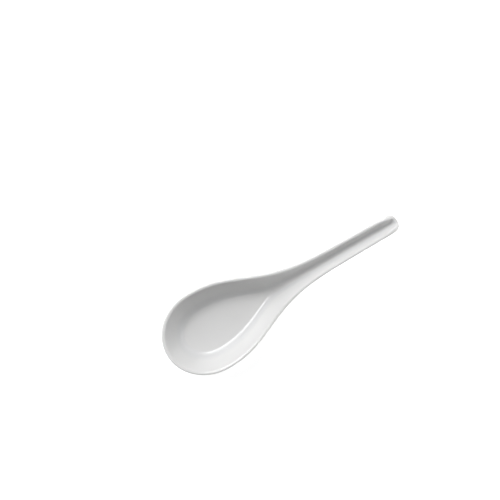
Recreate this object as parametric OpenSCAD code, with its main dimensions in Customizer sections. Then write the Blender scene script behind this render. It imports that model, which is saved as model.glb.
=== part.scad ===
// Porcelain soup spoon: a flat-floored bowl that draws in to a grooved handle and stands on a low foot ring.
// Millimetres. Z is up and the handle points to +X. The origin is on the table under the middle of the length.
// The wall is worked out as meridians. Each one starts at the underside, climbs the outer wall, goes over the lip
// and runs down the inner wall to the middle of the floor or groove.

/* [Outline seen from above] */
// Overall length from the front lip to the handle tip
spoon_len = 140; // [130:1:150]
// Width of the bowl across its rim
bowl_w = 46.4; // [43:0.2:50]
// Front lip to the widest place of the bowl
bowl_front = 26; // [24:0.5:29]
// Length over which the bowl draws in to the handle
shoulder_len = 38.8; // [37:0.1:42]
// Power of the shoulder curve
shoulder_power = 2.36; // [2.1:0.02:2.6]
// Width of the handle, its straight sides carried back to the bowl
handle_root_w = 12.8; // [12:0.1:13.6]
// Width of the handle at its tip
handle_tip_w = 9.4; // [9:0.1:10.2]
// Length of the rounded handle end
tip_len = 5.4; // [4.8:0.1:6.2]
// Power of the tip curve, 2 for an ellipse and more for a squarer end
tip_power = 2.7; // [2.2:0.1:3.2]

/* [Side view] */
// Height of the front lip above the table
rim_h = 17.4; // [16.4:0.2:19]
// Slope of the handle above level, in degrees
handle_angle = 23; // [19:0.5:26]
// Front lip to the place where the rim turns up into the handle
bend_x = 62; // [58:1:66]
// Length of that turn
bend_len = 11; // [7:1:15]
// Length over which the lip sinks to the open end of the groove
open_len = 12; // [10:0.5:16]
// Height of the lip above the bottom of the groove at that end
end_lip = 0.3; // [0.2:0.1:0.6]

/* [Wall] */
// Thickness of the rounded clay lip
lip_t = 1.6; // [1.5:0.1:1.9]
// Slope of the bowl's inner wall, in degrees from level
wall_angle = 60; // [57:1:62]
// Slope of the walls of the handle's groove
groove_angle = 66; // [63:1:68]
// Thickness of the clay in the floor and under the groove
floor_t = 2.8; // [2.5:0.1:3.4]
// Width of the hollow curve between the walls of the groove
hollow_w = 2.4; // [2:0.1:2.8]
// Distance from wall to middle line at which the hollow curve has half that width
hollow_half = 1.2; // [0.8:0.1:2]
// Growth of the hollow curve with the distance from wall to middle line
hollow_share = 0.16; // [0.12:0.01:0.2]

/* [Foot ring] */
// Inset of the foot ring from the rim, seen from above
foot_inset = 12; // [11.5:0.1:12.5]
// Front lip to the back end of the foot ring
foot_back = 54; // [50:0.5:55]
// Length of the foot ring's rounded back end
foot_round = 12; // [8:0.5:16]
// Height of the foot ring under the bowl
foot_h = 1; // [0.9:0.1:1.4]
// Width of the standing face
foot_face_w = 2.2; // [1.8:0.1:2.8]
// Depth of the recess inside the ring
recess_h = 0.7; // [0.6:0.1:1]

/* [Glaze] */
// Thickness of the glaze
glaze_t = 0.3; // [0.25:0.05:0.4]
// Height of the band above the table that is wiped clear of glaze
wiped_h = 0.5; // [0.4:0.1:0.6]

/* [Hidden] */

// The clay is smaller than the finished spoon by the glaze
clay_len = spoon_len - 2 * glaze_t;
clay_half = bowl_w / 2 - glaze_t;
clay_front = bowl_front - glaze_t;
root_half = handle_root_w / 2 - glaze_t;
tip_half = handle_tip_w / 2 - glaze_t;
tip_x = clay_len - tip_len;
lip_r = lip_t / 2;
floor_z = foot_h + floor_t;
handle_slope = tan(handle_angle);

// Fixed details of the form: lengths, drafts, a power, and shares of the wall's reach to the middle line
floor_blend = 1.5;
open_power = 4;
end_flat = 0.85;
outer_curve_share = 0.55;
hollow_row_share = 0.84;
last_row_share = 0.94;
foot_land = 0.4;
foot_draft = 0.4;
recess_draft = 0.3;
grind = 0.4;

// Steps of a meridian over the straight part of a wall, the hollow curve at its foot, and the lip
wall_steps = 3;
hollow_steps = 6;
lip_steps = 7;

// Stations along one side, closest together on the round ends and farthest apart on the straight handle
front_steps = 12;
shoulder_steps = 16;
handle_steps = 7;
tip_steps = 6;
neck_share = 1.35;
neck_x = clay_front + neck_share * shoulder_len;
stations = concat(
    [for (i = [0 : front_steps - 1]) clay_front * (1 - cos(90 * i / front_steps))],
    [for (i = [0 : shoulder_steps - 1]) clay_front + (neck_x - clay_front) * i / shoulder_steps],
    [for (i = [0 : handle_steps - 1]) neck_x + (tip_x - neck_x) * i / handle_steps],
    [for (i = [0 : tip_steps]) tip_x + tip_len * pow(sin(90 * i / tip_steps), 2 / tip_power)]
);
last = len(stations) - 1;
around = 2 * last;

// Half-width of the outline at x from the front lip: an elliptic front, a bell-shaped shoulder, a squarish tip
function sides_half(x) = root_half + (tip_half - root_half) * (x - clay_front) / (clay_len - clay_front);
function bell(x) = exp(-pow(max(0, x - clay_front) / shoulder_len, shoulder_power));
function plain_half(x) = sides_half(x) + (clay_half - sides_half(x)) * bell(x);
function front_half(x) = clay_half * sqrt(max(0, 1 - pow((clay_front - x) / clay_front, 2)));
function tip_round(x) = pow(max(0, 1 - pow(max(0, x - tip_x) / tip_len, tip_power)), 1 / tip_power);
function half_width(x) = x < clay_front ? front_half(x) : plain_half(x) * tip_round(x);

// Where the outline's normal at x meets the middle line
slope_step = 0.01;
function side_slope(x) = (plain_half(x + slope_step) - plain_half(x - slope_step)) / (2 * slope_step);
function spine_x(x) =
    x < clay_front
    ? clay_front - (clay_front - x) * max(0, 1 - pow(clay_half / clay_front, 2))
    : min(tip_x, x + plain_half(x) * side_slope(x));

// Height of the lip: level along the bowl, then turning up along the handle
function turn_up(x) = handle_slope / 2 * (x - bend_x + sqrt(pow(x - bend_x, 2) + pow(bend_len, 2)));
function rim_z(x) = rim_h - glaze_t + turn_up(x) - turn_up(0);

// Slope of the inner wall, which steepens from the bowl to the groove, and where the lip's arc runs into such a wall
function side_angle(x) = groove_angle + (wall_angle - groove_angle) * bell(x);
function lip_in(angle) = lip_r * (1 + sin(angle));
function lip_drop(angle) = lip_r * (1 - cos(angle));

// Width of the hollow curve where the wall stands h away from the middle line
function hollow(h) = hollow_w * h / (h + hollow_half) + hollow_share * h;

// Height of the floor, which turns into the bottom of the groove where the two walls meet
function groove_z(x) = let (
    angle = side_angle(x),
    h = plain_half(max(x, clay_front)) - lip_in(angle)
) rim_z(x) - lip_drop(angle) - tan(angle) * (h - hollow(h) / 2);
function valley_z(x) =
    let (half_gap = (floor_z - groove_z(x)) / 2)
    groove_z(x) + half_gap + sqrt(pow(half_gap, 2) + pow(floor_blend, 2));
function keel_z(x) = valley_z(x) - floor_t;

// The groove is open at the tip: towards it the lip sinks until it stands only just above the bottom of the groove
function tip_open(x) = pow(max(0, x - clay_len + open_len) / open_len, open_power);
function edge_z(x) = rim_z(x) - (rim_z(x) - valley_z(x) - end_lip) * tip_open(x);

// Height above the floor at inset q of a wall that is straight to q_end - curve and hollow from there to q_end
function wall_rise(q, q_end, curve, slope) =
    q < q_end - curve
    ? slope * (q_end - curve / 2 - q)
    : slope * pow(max(0, q_end - q), 2) / (2 * curve);

// Inset of the underside's last row: the edge of the foot ring, or close to the middle line behind the foot
function foot_reach(x, reach) = let (
    t = min(1, max(0, (spine_x(x) - foot_back + foot_round) / foot_round))
) min(last_row_share * reach, reach - max(0, reach - foot_inset) * sqrt(1 - t * t));

// One meridian: the section of the wall on the outline's normal at x, on side 1 or -1
function meridian(x, side) = let (
    w = half_width(x),
    reach = norm([spine_x(x) - x, w]),
    along = (spine_x(x) - x) / reach,
    across = -side * w / reach,
    rim = edge_z(x),
    angle = side_angle(x) * (1 - end_flat * tip_open(x)),
    in_q = lip_in(angle),
    curve = hollow(reach - in_q),
    depth = rim - lip_drop(angle) - valley_z(x + along * in_q),
    in_end = min(reach, in_q + depth / tan(angle) + curve / 2),
    in_slope = depth / (in_end - in_q - curve / 2),
    in_last = min(in_end, hollow_row_share * reach),
    out_end = min(foot_inset - foot_land, reach),
    out_curve = outer_curve_share * out_end,
    out_angle = atan((rim - lip_r - keel_z(x)) / (out_end - out_curve / 2)),
    out_q = lip_r * (1 - sin(out_angle)),
    out_drop = lip_r * (1 + cos(out_angle)),
    out_slope = (rim - out_drop - keel_z(x + along * out_q)) / (out_end - out_q - out_curve / 2),
    out_last = min(out_end, hollow_row_share * reach),
    outer_q = concat(
        [foot_reach(x, reach)],
        [for (k = [hollow_steps : -1 : 1])
            out_end - out_curve + (out_last - out_end + out_curve) * k / hollow_steps],
        [for (k = [wall_steps : -1 : 1]) out_q + (out_end - out_curve - out_q) * k / wall_steps]
    ),
    inner_q = concat(
        [for (k = [1 : wall_steps]) in_q + (in_end - curve - in_q) * k / wall_steps],
        [for (k = [1 : hollow_steps]) in_end - curve + (in_last - in_end + curve) * k / hollow_steps],
        [last_row_share * reach]
    ),
    lip_angles = [for (i = [0 : lip_steps])
        270 - out_angle - (180 - out_angle + angle) * i / lip_steps],
    section = concat(
        [for (q = outer_q) [q, keel_z(x + along * q) + wall_rise(q, out_end, out_curve, out_slope)]],
        [for (a = lip_angles) [lip_r * (1 + cos(a)), rim - lip_r * (1 - sin(a))]],
        [for (q = inner_q) [q, valley_z(x + along * q) + wall_rise(q, in_end, curve, in_slope)]]
    )
) [for (s = section) [x + along * s[0] - clay_len / 2, side * w + across * s[0], s[1]]];

meridians = concat(
    [for (i = [0 : last]) meridian(stations[i], 1)],
    [for (i = [last - 1 : -1 : 1]) meridian(stations[i], -1)]
);
rows = len(meridians[0]);

// The foot ring hangs under the first row of the meridians that end in front of its back end
foot_last = max([for (i = [0 : last]) spine_x(stations[i]) < foot_back ? i : 0]);
foot_around = 2 * foot_last + 1;
function foot_meridian(k) = (k - foot_last + around) % around;
foot_edge = [for (k = [0 : foot_around - 1]) meridians[foot_meridian(k)][0]];
foot_front_x = foot_edge[foot_last][0];
foot_back_x = foot_edge[0][0];
foot_mid_x = (foot_front_x + foot_back_x) / 2;
foot_half_len = (foot_back_x - foot_front_x) / 2;
foot_half_w = max([for (p = foot_edge) p[1]]);
function foot_loop(inset, z) = [for (p = foot_edge) [
    foot_mid_x + (p[0] - foot_mid_x) * (1 - inset / foot_half_len),
    p[1] * (1 - inset / foot_half_w),
    z
]];
wiped_loop = foot_loop(foot_draft / 2, wiped_h);
recess_inset = foot_draft + foot_face_w + recess_draft;
recess_loop = foot_loop(recess_inset, recess_h);

// Face helpers. A band joins two closed loops of the same length, a zip closes a loop across the middle line
function band(a, b) = [for (i = [0 : len(a) - 1]) let (j = (i + 1) % len(a))
    each [[a[i], a[j], b[j]], [a[i], b[j], b[i]]]];
function zip(a, b) = [for (i = [0 : len(a) - 2])
    each a[i] == b[i] ? [[a[i], a[i + 1], b[i + 1]]]
    : a[i + 1] == b[i + 1] ? [[a[i], a[i + 1], b[i]]]
    : [[a[i], a[i + 1], b[i + 1]], [a[i], b[i + 1], b[i]]]];
function flip(faces) = [for (f = faces) [f[0], f[2], f[1]]];
function shift(faces, n) = [for (f = faces) [f[0] + n, f[1] + n, f[2] + n]];
function row(v) = [for (i = [0 : around - 1]) i * rows + v];
function half_row(v, first) = [for (i = [first : last]) i * rows + v];
function other_half_row(v, first) = [for (i = [first : last]) ((around - i) % around) * rows + v];
function counted(first) = [for (k = [0 : foot_around - 1]) first + k];
function turned(loop) = [for (k = [len(loop) - 1 : -1 : 0]) loop[k]];

// The skin from the wiped line of the foot, over the lip, to the middle of the floor
skin_points = concat([for (m = meridians) each m], wiped_loop);
skin_count = len(skin_points);
foot_row = [for (k = [0 : foot_around - 1]) foot_meridian(k) * rows];
wiped_row = counted(skin_count - foot_around);
skin_faces = concat(
    [for (v = [0 : rows - 2]) each band(row(v), row(v + 1))],
    zip(half_row(rows - 1, 0), other_half_row(rows - 1, 0)),
    flip(zip(half_row(0, foot_last), other_half_row(0, foot_last))),
    band(turned(foot_row), turned(wiped_row))
);

// Outward direction of the skin at each of its points
function unit(v) = v / norm(v);
function skin_normal(i, v) = let (
    ahead = meridians[(i + 1) % around][v],
    behind = meridians[(i + around - 1) % around][v],
    over_foot = v == 0 && min(i, around - i) <= foot_last,
    below = over_foot ? wiped_loop[(i + foot_last) % around] : meridians[i][max(0, v - 1)],
    above = meridians[i][min(rows - 1, v + 1)]
) unit(cross(above - below, ahead - behind));
function wiped_normal(k) = let (
    ahead = wiped_loop[(k + 1) % foot_around],
    behind = wiped_loop[(k + foot_around - 1) % foot_around]
) unit(cross(foot_edge[k] - wiped_loop[k], ahead - behind));
skin_normals = concat(
    [for (i = [0 : around - 1]) for (v = [0 : rows - 1]) skin_normal(i, v)],
    [for (k = [0 : foot_around - 1]) wiped_normal(k)]
);
glazed_points = [for (k = [0 : skin_count - 1]) skin_points[k] + glaze_t * skin_normals[k]];

// The clay: bowl, neck, handle and foot ring from one mould, the foot ground flat
module biscuit_body() {
    ring_loops = concat(
        foot_loop(foot_draft, -grind),
        foot_loop(foot_draft + foot_face_w, -grind),
        recess_loop
    );
    outer_loop = counted(skin_count);
    inner_loop = counted(skin_count + foot_around);
    roof_loop = counted(skin_count + 2 * foot_around);
    roof_half = [for (k = [0 : foot_last]) roof_loop[foot_last + k]];
    roof_other_half = [for (k = [0 : foot_last]) roof_loop[foot_last - k]];
    color([0.9, 0.88, 0.84])
    difference() {
        polyhedron(
            points = concat(skin_points, ring_loops),
            faces = concat(
                skin_faces,
                band(turned(wiped_row), turned(outer_loop)),
                band(turned(outer_loop), turned(inner_loop)),
                band(turned(inner_loop), turned(roof_loop)),
                flip(zip(roof_half, roof_other_half))
            )
        );
        translate([-spoon_len / 2, -bowl_w / 2, -2 * grind])
            cube([spoon_len, bowl_w, 2 * grind]);
    }
}

// The glaze: a coat on the whole skin, and a patch on the recess inside the foot ring
module glaze_coat() {
    color([0.96, 0.96, 0.95]) {
        polyhedron(
            points = concat(glazed_points, skin_points),
            faces = concat(
                skin_faces,
                shift(flip(skin_faces), skin_count),
                band(turned(wiped_row), turned([for (k = wiped_row) k + skin_count]))
            )
        );
        translate([0, 0, recess_h - glaze_t])
            linear_extrude(glaze_t)
                polygon([for (p = recess_loop) [p[0], p[1]]]);
    }
}

biscuit_body();
glaze_coat();
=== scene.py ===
"""White porcelain soup spoon: a clay body with a bare foot ring under a coat of glossy white glaze."""

import bpy
import numpy as np
from mathutils import Matrix, Vector


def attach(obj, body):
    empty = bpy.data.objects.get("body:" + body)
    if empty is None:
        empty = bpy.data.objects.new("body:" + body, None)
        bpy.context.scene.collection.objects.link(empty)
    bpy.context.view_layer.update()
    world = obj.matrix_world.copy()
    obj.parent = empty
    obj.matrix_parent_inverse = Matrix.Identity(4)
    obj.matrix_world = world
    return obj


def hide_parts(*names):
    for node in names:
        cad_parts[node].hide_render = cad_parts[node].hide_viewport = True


scene = bpy.context.scene
scene.view_settings.view_transform = "Standard"
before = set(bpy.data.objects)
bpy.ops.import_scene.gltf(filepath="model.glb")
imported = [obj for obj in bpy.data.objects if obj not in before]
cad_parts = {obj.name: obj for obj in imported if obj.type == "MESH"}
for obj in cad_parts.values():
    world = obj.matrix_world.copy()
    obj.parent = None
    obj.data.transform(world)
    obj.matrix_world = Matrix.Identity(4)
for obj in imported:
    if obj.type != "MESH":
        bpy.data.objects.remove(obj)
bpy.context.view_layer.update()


# The clay body
# Bowl, neck, grooved handle and low foot ring are one piece of white clay, pressed in a mould.
# The first firing leaves it matt and slightly rough, and that biscuit stays bare on the ring it stands on.

# Sizes of the clay in millimetres. x runs from the front lip to the handle tip.
glaze_t = 0.3
clay_len = 140 - 2 * glaze_t
bowl_half = 46.4 / 2 - glaze_t
bowl_front = 26 - glaze_t
shoulder_len = 38.8
shoulder_power = 2.36
root_half = 12.8 / 2 - glaze_t
tip_half = 9.4 / 2 - glaze_t
tip_len = 5.4
tip_power = 2.7
tip_x = clay_len - tip_len
open_len = 12
end_lip = -0.2
rim_h = 17.4 - glaze_t
handle_slope = np.tan(np.radians(23))
bend_x = 62
bend_len = 11
lip_r = 1.6 / 2
handle_lip_r = 0.6
tip_lip_r = 1.25
swell_len = 16
swell_power = 4
bowl_angle = np.radians(60)
groove_angle = np.radians(66)
floor_t = 2.8
foot_h = 1.0
floor_z = foot_h + floor_t
floor_blend = 1.5
hollow_w = 2.4
hollow_half = 1.2
hollow_share = 0.16
foot_inset = 12
foot_back = 54
foot_round = 12

# Fixed details of the form.
open_power = 4
end_flat = 0.85
outer_curve_share = 0.55
hollow_row_share = 0.84
last_row_share = 0.94
foot_land = 0.4
neck_share = 1.35
wall_room = 1.6


def bell(x):
    """Share of the bowl in the form: 1 as far as the widest place, then falling to 0 along the shoulder."""
    return np.exp(-(np.maximum(0, x - bowl_front) / shoulder_len) ** shoulder_power)


def plain_half(x):
    """Half-width behind the widest place: a bell curve that falls to the handle's tapering sides."""
    sides = root_half + (tip_half - root_half) * (x - bowl_front) / (clay_len - bowl_front)
    return sides + (bowl_half - sides) * bell(x)


def tip_round(x):
    """Share of the handle's width that the squarish curve of the tip leaves."""
    return np.maximum(0, 1 - (np.maximum(0, x - tip_x) / tip_len) ** tip_power) ** (1 / tip_power)


def half_width(x):
    """Half-width of the outline: a quarter ellipse in front, then the bell curve and a squarish tip."""
    front = bowl_half * np.sqrt(np.maximum(0, 1 - ((bowl_front - x) / bowl_front) ** 2))
    return np.where(x < bowl_front, front, plain_half(x) * tip_round(x))


def spine_x(x):
    """Where the outline's normal at x meets the middle line."""
    step = 0.01
    slope = (plain_half(x + step) - plain_half(x - step)) / (2 * step)
    front = bowl_front - (bowl_front - x) * (1 - (bowl_half / bowl_front) ** 2)
    return np.where(x < bowl_front, front, np.minimum(tip_x, x + plain_half(x) * slope))


def turn_up(x):
    """A hyperbola that leaves the level and tends to the handle's slope."""
    return handle_slope / 2 * (x - bend_x + np.hypot(x - bend_x, bend_len))


def rim_z(x):
    """Height of the lip: level along the bowl, then turning up along the handle."""
    return rim_h + turn_up(x) - turn_up(0)


def side_angle(x):
    """Steepness of the inner wall: the bowl's, growing along the shoulder to that of the handle's groove."""
    return groove_angle + (bowl_angle - groove_angle) * bell(x)


def lip_in(angle):
    """Inset at which the arc of a lip as thick as the bowl's runs into an inner wall of that steepness."""
    return lip_r * (1 + np.sin(angle))


def lip_drop(angle):
    """How far below the rim that place lies."""
    return lip_r * (1 - np.cos(angle))


def hollow(h):
    """Width of the hollow curve at the foot of a wall that stands h away from the middle line."""
    return hollow_w * h / (h + hollow_half) + hollow_share * h


def groove_z(x):
    """Height at which the two inner walls would meet on the middle line."""
    angle = side_angle(x)
    h = plain_half(np.maximum(x, bowl_front)) - lip_in(angle)
    return rim_z(x) - lip_drop(angle) - np.tan(angle) * (h - hollow(h) / 2)


def valley_z(x):
    """Height of the middle line: the flat floor of the bowl, blended into the bottom of the groove."""
    half_gap = (floor_z - groove_z(x)) / 2
    return groove_z(x) + half_gap + np.hypot(half_gap, floor_blend)


def keel_z(x):
    """Height of the underside on the middle line."""
    return valley_z(x) - floor_t


def tip_open(x):
    """How far the groove's end is open: not at all along the handle, wholly at the tip."""
    return (np.maximum(0, x - clay_len + open_len) / open_len) ** open_power


def edge_z(x):
    """Height of the lip, which sinks towards the tip and ends just below the bottom of the groove."""
    return rim_z(x) - (rim_z(x) - valley_z(x) - end_lip) * tip_open(x)


def edge_r(x):
    """Radius of the lip: thinner on the handle than on the bowl, with one swelling just before the end."""
    near_end = np.maximum(0, x - clay_len + swell_len) / swell_len
    swell = np.sin(np.pi * near_end ** swell_power)
    return handle_lip_r + (lip_r - handle_lip_r) * bell(x) + (tip_lip_r - handle_lip_r) * swell


def wall_rise(q, q_end, curve, slope):
    """Height above the floor at inset q of a wall that is straight first and ends in a parabola at q_end."""
    straight = slope * (q_end - curve / 2 - q)
    round_part = slope * np.maximum(0, q_end - q) ** 2 / (2 * curve)
    return np.where(q < q_end - curve, straight, round_part)


def outline_stations(front, shoulder, handle, tip):
    """Places x along one side, in so many steps for each stretch, closest together on the round ends."""
    neck_x = bowl_front + neck_share * shoulder_len
    return np.concatenate([
        bowl_front * (1 - np.cos(np.pi / 2 * np.arange(front) / front)),
        bowl_front + (neck_x - bowl_front) * np.arange(shoulder) / shoulder,
        neck_x + (tip_x - neck_x) * np.arange(handle) / handle,
        tip_x + tip_len * np.sin(np.pi / 2 * np.arange(tip + 1) / tip) ** (2 / tip_power),
    ])


# x of each meridian: along the far side from the front lip to the tip, and back along the near side.
one_side = outline_stations(front=48, shoulder=72, handle=56, tip=20)
last = len(one_side) - 1
around = 2 * last
turn = np.arange(around)
x = one_side[np.minimum(turn, around - turn)][:, None]
side = np.where(turn <= last, 1.0, -1.0)[:, None]

hollow_steps = 20
wall_steps = 8
lip_steps = 20


def clay_wall():
    """Points of the wall, meridian by row, and how far the lip's surface leans inwards in each of its rows.
    A meridian is the wall's section on the outline's normal at x: up the outer wall from the foot, round the
    lip on an arc, and down the inner wall to the middle of the floor. Where the wall is low, its hollow curve
    narrows, so that it doesn't fold."""
    width = half_width(x)
    reach = np.hypot(spine_x(x) - x, width)
    along = (spine_x(x) - x) / reach
    across = -side * width / reach
    rim = edge_z(x)
    up = np.arange(1, hollow_steps + 1) / hollow_steps
    straight = np.arange(1, wall_steps + 1) / wall_steps

    angle = side_angle(x) * (1 - end_flat * tip_open(x))
    r = edge_r(x)
    start = r * (1 + np.sin(angle))
    top = rim - r * (1 - np.cos(angle))
    depth = top - valley_z(x + along * start)
    curve = np.minimum(hollow(reach - start), wall_room * depth / np.tan(angle))
    in_end = np.minimum(reach, start + depth / np.tan(angle) + curve / 2)
    in_slope = depth / (in_end - start - curve / 2)
    in_last = np.minimum(in_end, hollow_row_share * reach)
    in_start = in_end - curve
    inner_q = np.hstack([
        start + (in_start - start) * straight,
        in_start + (in_last - in_start) * up,
        last_row_share * reach,
    ])
    inner_z = valley_z(x + along * inner_q) + wall_rise(inner_q, in_end, curve, in_slope)

    out_end = np.minimum(foot_inset - foot_land, reach)
    out_curve = outer_curve_share * out_end
    out_angle = np.arctan((rim - r - keel_z(x)) / (out_end - out_curve / 2))
    out_q = r * (1 - np.sin(out_angle))
    out_drop = r * (1 + np.cos(out_angle))
    out_slope = (rim - out_drop - keel_z(x + along * out_q)) / (out_end - out_q - out_curve / 2)
    out_last = np.minimum(out_end, hollow_row_share * reach)
    out_start = out_end - out_curve
    back = np.clip((spine_x(x) - foot_back + foot_round) / foot_round, 0, 1)
    foot_q = reach - np.maximum(0, reach - foot_inset) * np.sqrt(1 - back ** 2)
    outer_q = np.hstack([
        np.minimum(last_row_share * reach, foot_q),
        out_start + (out_last - out_start) * up[::-1],
        out_q + (out_start - out_q) * straight[::-1],
    ])
    outer_z = keel_z(x + along * outer_q) + wall_rise(outer_q, out_end, out_curve, out_slope)

    lip_angle = 1.5 * np.pi - out_angle - (np.pi - out_angle + angle) * np.linspace(0, 1, lip_steps + 1)
    q = np.hstack([outer_q, r * (1 + np.cos(lip_angle)), inner_q])
    z = np.hstack([outer_z, rim - r * (1 - np.sin(lip_angle)), inner_z])
    points = np.stack([x + along * q - clay_len / 2, side * width + across * q, z], axis=-1)
    return points, np.pi / 2 - lip_angle


clay, lip_lean = clay_wall()
rows = clay.shape[1]
wall_number = np.arange(around * rows).reshape(around, rows)

# The foot ring hangs under the first row of the meridians that end in front of its back end.
foot_last = int(np.flatnonzero(spine_x(one_side) < foot_back).max())
foot_turn = np.arange(-foot_last, foot_last + 1) % around
foot_edge = clay[foot_turn, 0]
foot_middle = (foot_edge[:, 0].max() + foot_edge[:, 0].min()) / 2
foot_half_len = (foot_edge[:, 0].max() - foot_edge[:, 0].min()) / 2
foot_half_w = foot_edge[:, 1].max()


def foot_loop(inset, z):
    """The edge of the foot ring, drawn in by an inset towards its middle and laid at height z."""
    loop_x = foot_middle + (foot_edge[:, 0] - foot_middle) * (1 - inset / foot_half_len)
    loop_y = foot_edge[:, 1] * (1 - inset / foot_half_w)
    return np.stack([loop_x, loop_y, np.full_like(loop_x, z)], axis=-1)


def band(a, b):
    """Quads between two closed loops of point numbers of the same length."""
    return np.stack([a, np.roll(a, -1), np.roll(b, -1), b], axis=-1)


def closing_strip(loop_a, loop_b):
    """Quads across the middle line between two rows of point numbers that run along it."""
    return np.stack([loop_a[:-1], loop_a[1:], loop_b[1:], loop_b[:-1]], axis=-1)


def across_middle(ring, middle):
    """Quads that close a ring across the middle line, between its points before and after number middle."""
    count = min(middle, len(ring) - 1 - middle)
    ahead = ring[middle:middle + count + 1]
    behind = ring[middle - count:middle + 1][::-1]
    return closing_strip(ahead, behind)


def wall_faces():
    """Quads of the wall, row by row, closed across the middle of the floor and behind the foot ring."""
    sheets = [band(wall_number[:, v], wall_number[:, v + 1]) for v in range(rows - 1)]
    one = np.arange(last + 1)
    other = (around - one) % around
    sheets.append(closing_strip(wall_number[one, rows - 1], wall_number[other, rows - 1]))
    sheets.append(closing_strip(wall_number[other[foot_last:], 0], wall_number[one[foot_last:], 0]))
    return np.concatenate(sheets)


def loops_below(first_row, loops, start):
    """Quads that carry a row of point numbers down through further loops, numbered from start on, and the
    numbers of the last loop."""
    rings = [first_row] + [start + len(foot_turn) * k + np.arange(len(foot_turn)) for k in range(loops)]
    return np.concatenate([band(a[::-1], b[::-1]) for a, b in zip(rings, rings[1:])]), rings[-1]


def add_piece(name, points, quads, material, replaced):
    """A smooth mesh piece from points in millimetres. Quads that fold to a triangle lose the doubled point,
    and those that fold to a line are left out."""
    faces = [list(dict.fromkeys(quad)) for quad in quads.tolist()]
    mesh = bpy.data.meshes.new(name)
    mesh.from_pydata((points / 1000).tolist(), [], [face for face in faces if len(face) > 2])
    mesh.shade_smooth()
    mesh.materials.append(material)
    piece = bpy.data.objects.new(name, mesh)
    scene.collection.objects.link(piece)
    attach(piece, "root")
    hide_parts(replaced)
    return piece


def add_node(tree, kind, sockets=None, **settings):
    """A shader node. Each socket takes either a plain value or the output that is linked to it."""
    made = tree.nodes.new(kind)
    for name, value in settings.items():
        setattr(made, name, value)
    for name, value in (sockets or {}).items():
        if isinstance(value, bpy.types.NodeSocket):
            tree.links.new(value, made.inputs[name])
        else:
            made.inputs[name].default_value = value
    return made


def kiln_specks():
    """Node group: a mask of tiny round spots, such as iron specks and grit leave. Space is cut into cells,
    a share of the cells holds a spot, and its size differs from cell to cell."""
    group = bpy.data.node_groups.new("kiln_specks", "ShaderNodeTree")
    for name in ("Cells per metre", "Share", "Radius"):
        group.interface.new_socket(name, in_out="INPUT", socket_type="NodeSocketFloat")
    group.interface.new_socket("Mask", in_out="OUTPUT", socket_type="NodeSocketFloat")
    given = add_node(group, "NodeGroupInput")
    place = add_node(group, "ShaderNodeTexCoord")
    cells = add_node(group, "ShaderNodeTexVoronoi", {
        "Vector": place.outputs["Object"], "Scale": given.outputs["Cells per metre"]})
    chance = add_node(group, "ShaderNodeSeparateColor", {"Color": cells.outputs["Color"]})
    chosen = add_node(group, "ShaderNodeMath", {
        0: chance.outputs["Red"], 1: given.outputs["Share"]}, operation="LESS_THAN")
    size = add_node(group, "ShaderNodeMath", {
        0: chance.outputs["Green"], 1: given.outputs["Radius"]}, operation="MULTIPLY")
    spot = add_node(group, "ShaderNodeMapRange", {
        "Value": cells.outputs["Distance"], "From Min": size.outputs[0], "From Max": 0.0})
    mask = add_node(group, "ShaderNodeMath", {
        0: spot.outputs["Result"], 1: chosen.outputs[0]}, operation="MULTIPLY")
    add_node(group, "NodeGroupOutput", {"Mask": mask.outputs[0]})
    return group


def new_material(name):
    """A new material, its node tree and its Principled shader."""
    made = bpy.data.materials.new(name)
    made.use_nodes = True
    return made, made.node_tree, made.node_tree.nodes["Principled BSDF"]


specks = kiln_specks()


def biscuit_material():
    """Matt fired clay: a cream ground with toasted clouds, grit specks and a fine sandy grain."""
    material, tree, shader = new_material("biscuit")
    place = add_node(tree, "ShaderNodeTexCoord")
    clouds = add_node(tree, "ShaderNodeTexNoise", {
        "Vector": place.outputs["Object"], "Scale": 160.0, "Detail": 3.0})
    tone = add_node(tree, "ShaderNodeValToRGB", {"Fac": clouds.outputs["Fac"]})
    tone.color_ramp.elements[0].position = 0.35
    tone.color_ramp.elements[0].color = (0.60, 0.52, 0.42, 1)
    tone.color_ramp.elements[1].position = 0.65
    tone.color_ramp.elements[1].color = (0.76, 0.72, 0.64, 1)
    grit = add_node(tree, "ShaderNodeGroup", node_tree=specks)
    grit.inputs["Cells per metre"].default_value = 900
    grit.inputs["Share"].default_value = 0.08
    grit.inputs["Radius"].default_value = 0.35
    dotted = add_node(tree, "ShaderNodeMix", {
        "Factor": grit.outputs["Mask"],
        "A": tone.outputs["Color"],
        "B": (0.20, 0.14, 0.09, 1)}, data_type="RGBA")
    grain = add_node(tree, "ShaderNodeTexNoise", {
        "Vector": place.outputs["Object"], "Scale": 7000.0, "Detail": 2.0})
    rough = add_node(tree, "ShaderNodeMapRange", {
        "Value": clouds.outputs["Fac"], "To Min": 0.7, "To Max": 0.95})
    bump = add_node(tree, "ShaderNodeBump", {
        "Height": grain.outputs["Fac"], "Strength": 0.5, "Distance": 0.00004})
    tree.links.new(dotted.outputs["Result"], shader.inputs["Base Color"])
    tree.links.new(rough.outputs["Result"], shader.inputs["Roughness"])
    tree.links.new(bump.outputs["Normal"], shader.inputs["Normal"])
    return material


# Section of the foot ring as (inset from its outer edge, height): draughted sides and sponged, eased edges.
ring_section = [
    (0.2, 0.5), (0.27, 0.2), (0.35, 0.06), (0.5, 0.0),
    (2.5, 0.0), (2.66, 0.06), (2.74, 0.2), (2.9, 0.7),
]
foot_first = around * rows
ring_loops = [foot_loop(inset, z) for inset, z in ring_section]
ring_faces, recess_edge = loops_below(wall_number[foot_turn, 0], len(ring_loops), foot_first)
add_piece(
    "biscuit",
    np.concatenate([clay.reshape(-1, 3)] + ring_loops),
    np.concatenate([wall_faces(), ring_faces, across_middle(recess_edge[::-1], foot_last)]),
    biscuit_material(), "biscuit_body")


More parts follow.
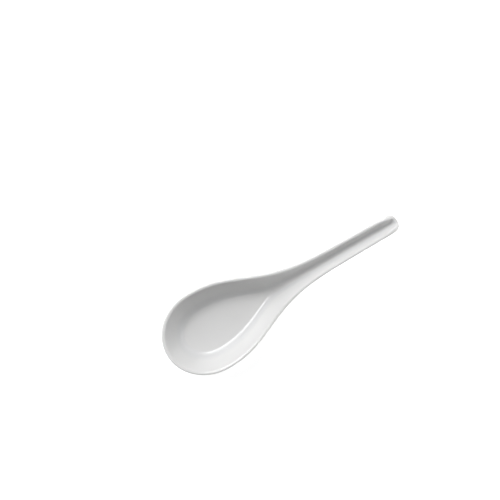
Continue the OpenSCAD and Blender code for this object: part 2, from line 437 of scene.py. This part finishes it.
# The glaze
# A glossy glass coat, poured over the clay and melted onto it in the second firing. It thins where it draws
# off the lip, lies deeper in the hollows, and stops in a rolled edge above the wiped foot ring.

# The pool runs from -1, where the glaze is drawn off, to 1, where it lies deepest. Depths are in millimetres.
worn_lean = np.radians(23)
worn_share = 0.85
bowl_draw = 0.15
handle_draw = 0.5
under_pool = 0.6
foot_pool = 0.3
pool_depth = 0.05
draw_depth = 0.13

# On the bowl's lip the glaze thins most on a face that leans inwards, and less as far as 45 degrees from it.
# On the handle's lip it thins less, and all over.
worn_face = np.cos(np.clip((lip_lean - worn_lean) * 2, -np.pi / 2, np.pi / 2)) ** 2
drawn_edge = np.sin(np.linspace(0, np.pi, lip_steps + 1))
draw_share = bowl_draw + (handle_draw - bowl_draw) * (1 - bell(x))
under_rows = hollow_steps + wall_steps + 1
pool = np.hstack([
    np.broadcast_to(np.linspace(under_pool, 0.0, under_rows), (around, under_rows)),
    -worn_share * bell(x) * worn_face - draw_share * drawn_edge,
    np.zeros((around, wall_steps)),
    np.broadcast_to(np.sin(np.linspace(0, np.pi, hollow_steps)), (around, hollow_steps)),
    np.zeros((around, 1)),
])
coat = glaze_t + np.where(pool > 0, pool_depth, draw_depth) * pool


def outward(points):
    """Unit normals of the wall: the cross product of the steps up the meridians and round the rows."""
    ahead = np.roll(points, -1, axis=0) - np.roll(points, 1, axis=0)
    up = np.gradient(points, axis=1)
    up[foot_turn, 0] = points[foot_turn, 1] - foot_loop(*ring_section[0])
    normal = np.cross(up, ahead)
    return normal / np.linalg.norm(normal, axis=-1, keepdims=True)


def glaze_material():
    """Glossy white glaze: a faint warm tone where it is thin and a faint cool one where it pools, a slow
    swell and fine orange peel in the surface, a trace of haze in the gloss, and a few pale iron specks."""
    material, tree, shader = new_material("glaze")
    place = add_node(tree, "ShaderNodeTexCoord")
    depth = add_node(tree, "ShaderNodeAttribute", attribute_name="glaze_pool")
    shade = add_node(tree, "ShaderNodeTexNoise", {
        "Vector": place.outputs["Object"], "Scale": 60.0, "Detail": 3.0})
    mixed = add_node(tree, "ShaderNodeMath", {
        0: shade.outputs["Fac"], 1: 0.6, 2: depth.outputs["Fac"]}, operation="MULTIPLY_ADD")
    tone = add_node(tree, "ShaderNodeValToRGB", {"Fac": mixed.outputs[0]})
    tone.color_ramp.elements[0].position = 0.0
    tone.color_ramp.elements[0].color = (0.742, 0.74, 0.735, 1)
    tone.color_ramp.elements[1].position = 1.0
    tone.color_ramp.elements[1].color = (0.722, 0.726, 0.73, 1)
    iron = add_node(tree, "ShaderNodeGroup", node_tree=specks)
    iron.inputs["Cells per metre"].default_value = 180
    iron.inputs["Share"].default_value = 0.05
    iron.inputs["Radius"].default_value = 0.03
    dotted = add_node(tree, "ShaderNodeMix", {
        "Factor": iron.outputs["Mask"],
        "A": tone.outputs["Color"],
        "B": (0.45, 0.38, 0.30, 1)}, data_type="RGBA")
    haze = add_node(tree, "ShaderNodeTexNoise", {
        "Vector": place.outputs["Object"], "Scale": 240.0, "Detail": 4.0})
    rough = add_node(tree, "ShaderNodeMapRange", {
        "Value": haze.outputs["Fac"], "To Min": 0.05, "To Max": 0.11})
    swell = add_node(tree, "ShaderNodeTexNoise", {
        "Vector": place.outputs["Object"], "Scale": 90.0, "Detail": 1.0})
    peel = add_node(tree, "ShaderNodeTexNoise", {
        "Vector": place.outputs["Object"], "Scale": 700.0, "Detail": 1.0})
    broad = add_node(tree, "ShaderNodeBump", {
        "Height": swell.outputs["Fac"], "Strength": 1.0, "Distance": 0.00006})
    fine = add_node(tree, "ShaderNodeBump", {
        "Height": peel.outputs["Fac"],
        "Strength": 1.0,
        "Distance": 0.000003,
        "Normal": broad.outputs["Normal"]})
    shader.inputs["IOR"].default_value = 1.5
    tree.links.new(dotted.outputs["Result"], shader.inputs["Base Color"])
    tree.links.new(rough.outputs["Result"], shader.inputs["Roughness"])
    tree.links.new(fine.outputs["Normal"], shader.inputs["Normal"])
    return material


coat_points = clay + coat[..., None] * outward(clay)

# Rolled edge of the glaze on the ring's outer side, and its pool in the recess, as (inset, height).
edge_section = [(-0.2, 0.64), (-0.08, 0.57), (0.06, 0.52), (0.24, 0.5)]
recess_section = [(2.72, 0.3), (2.86, 0.36), (3.05, 0.42), (3.4, 0.45), (4.4, 0.46)]
edge_loops = [foot_loop(inset, z) for inset, z in edge_section]
recess_loops = [foot_loop(inset, z) for inset, z in recess_section]
edge_faces = loops_below(wall_number[foot_turn, 0], len(edge_loops), foot_first)[0]
recess_first = foot_first + len(foot_turn) * len(edge_loops)
recess_faces, recess_ring = loops_below(
    recess_first + np.arange(len(foot_turn)), len(recess_loops) - 1, recess_first + len(foot_turn))
glaze = add_piece(
    "glaze",
    np.concatenate([coat_points.reshape(-1, 3)] + edge_loops + recess_loops),
    np.concatenate([wall_faces(), edge_faces, recess_faces, across_middle(recess_ring[::-1], foot_last)]),
    glaze_material(), "glaze_coat")
point_pool = np.concatenate([
    pool.ravel(),
    np.full(len(foot_turn) * (len(edge_loops) + len(recess_loops)), foot_pool),
])
pool_values = glaze.data.attributes.new("glaze_pool", "FLOAT", "POINT").data
pool_values.foreach_set("value", point_pool.astype(np.float32))


# The studio
# A white table in a white room, seen from straight above. A large window and a smaller, brighter lamp light
# it from the upper left of the picture, panels fill in from other sides, and a low card lights the near edge.
def seen_directly(tree):
    """An output that is 1 for rays from the camera, from gloss and through glass, and 0 for all others."""
    path = add_node(tree, "ShaderNodeLightPath")
    seen = add_node(tree, "ShaderNodeMath", {
        0: path.outputs["Is Camera Ray"], 1: path.outputs["Is Glossy Ray"]}, operation="MAXIMUM")
    seen_through = add_node(tree, "ShaderNodeMath", {
        0: seen.outputs[0], 1: path.outputs["Is Transmission Ray"]}, operation="MAXIMUM")
    return seen_through.outputs[0]


table_half = 0.5
table_glow = 0.66


def table_material():
    """White table: matt, so that it keeps the shadow, and brought up to white by a glow where it is seen."""
    material, tree, shader = new_material("white_table")
    shader.inputs["Base Color"].default_value = (0.9, 0.9, 0.9, 1)
    shader.inputs["Roughness"].default_value = 1.0
    shader.inputs["Specular IOR Level"].default_value = 0.0
    shader.inputs["Emission Color"].default_value = (1, 1, 1, 1)
    glow = add_node(tree, "ShaderNodeMath", {
        0: seen_directly(tree), 1: table_glow}, operation="MULTIPLY")
    tree.links.new(glow.outputs[0], shader.inputs["Emission Strength"])
    return material


table_mesh = bpy.data.meshes.new("table")
corners = np.array([(-1, -1), (1, -1), (1, 1), (-1, 1)]) * table_half
table_mesh.from_pydata(np.column_stack([corners, np.zeros(4)]).tolist(), [], [(0, 1, 2, 3)])
table_mesh.materials.append(table_material())
table = bpy.data.objects.new("table", table_mesh)
scene.collection.objects.link(table)

world = bpy.data.worlds.new("studio")
scene.world = world
world.use_nodes = True
sky = world.node_tree.nodes["Background"]
sky.inputs["Color"].default_value = (1, 1, 1, 1)
world.node_tree.links.new(seen_directly(world.node_tree), sky.inputs["Strength"])


def aim(obj, place, target, up):
    """Puts a lamp or camera at a place, looking at a target with the given direction upwards in its view."""
    back = (Vector(place) - Vector(target)).normalized()
    right = Vector(up).cross(back).normalized()
    top = back.cross(right)
    turn_matrix = Matrix((right, top, back)).transposed().to_4x4()
    obj.matrix_world = Matrix.Translation(place) @ turn_matrix


# The picture is turned by this much, so that the handle rises to the right in it.
handle_tilt = np.radians(31.15)
picture_up = Vector((np.sin(handle_tilt), np.cos(handle_tilt), 0))
picture_right = Vector((np.cos(handle_tilt), -np.sin(handle_tilt), 0))
lit_place = Vector((-0.02, 0, 0.02))
lamp_distance = 0.7


def soft_lamp(name, width, height, zenith, azimuth, power):
    """A rectangular lamp that faces the bowl. Zenith is its angle from straight above, and azimuth its
    direction in the picture, counted from the right through the top, both in degrees. Power is in watts."""
    data = bpy.data.lights.new(name, "AREA")
    data.shape = "RECTANGLE"
    data.size = width
    data.size_y = height
    data.energy = power
    lamp = bpy.data.objects.new(name, data)
    scene.collection.objects.link(lamp)
    level = picture_right * np.cos(np.radians(azimuth)) + picture_up * np.sin(np.radians(azimuth))
    towards = level * np.sin(np.radians(zenith)) + Vector((0, 0, np.cos(np.radians(zenith))))
    aim(lamp, lit_place + towards * lamp_distance, lit_place, (0, 0, 1))


soft_lamp("window", 0.7, 0.7, zenith=50, azimuth=130, power=3.42)
soft_lamp("bright_lamp", 0.44, 0.2, zenith=40, azimuth=130, power=2.24)
soft_lamp("right_panel", 0.7, 0.4, zenith=76, azimuth=30, power=1.64)
soft_lamp("left_panel", 0.7, 0.4, zenith=70, azimuth=180, power=1.09)
soft_lamp("near_panel", 0.7, 0.4, zenith=62, azimuth=345, power=1.2)
soft_lamp("low_card", 1.2, 0.03, zenith=90, azimuth=305, power=2.8)

camera_data = bpy.data.cameras.new("camera")
camera_data.sensor_width = 36
camera_data.lens = 64.42
camera = bpy.data.objects.new("camera", camera_data)
scene.collection.objects.link(camera)
scene.camera = camera
view_centre = Vector((-0.002, 0.02576, 0))
camera_height = 0.5
aim(camera, view_centre + Vector((0, 0, camera_height)), view_centre, picture_up)
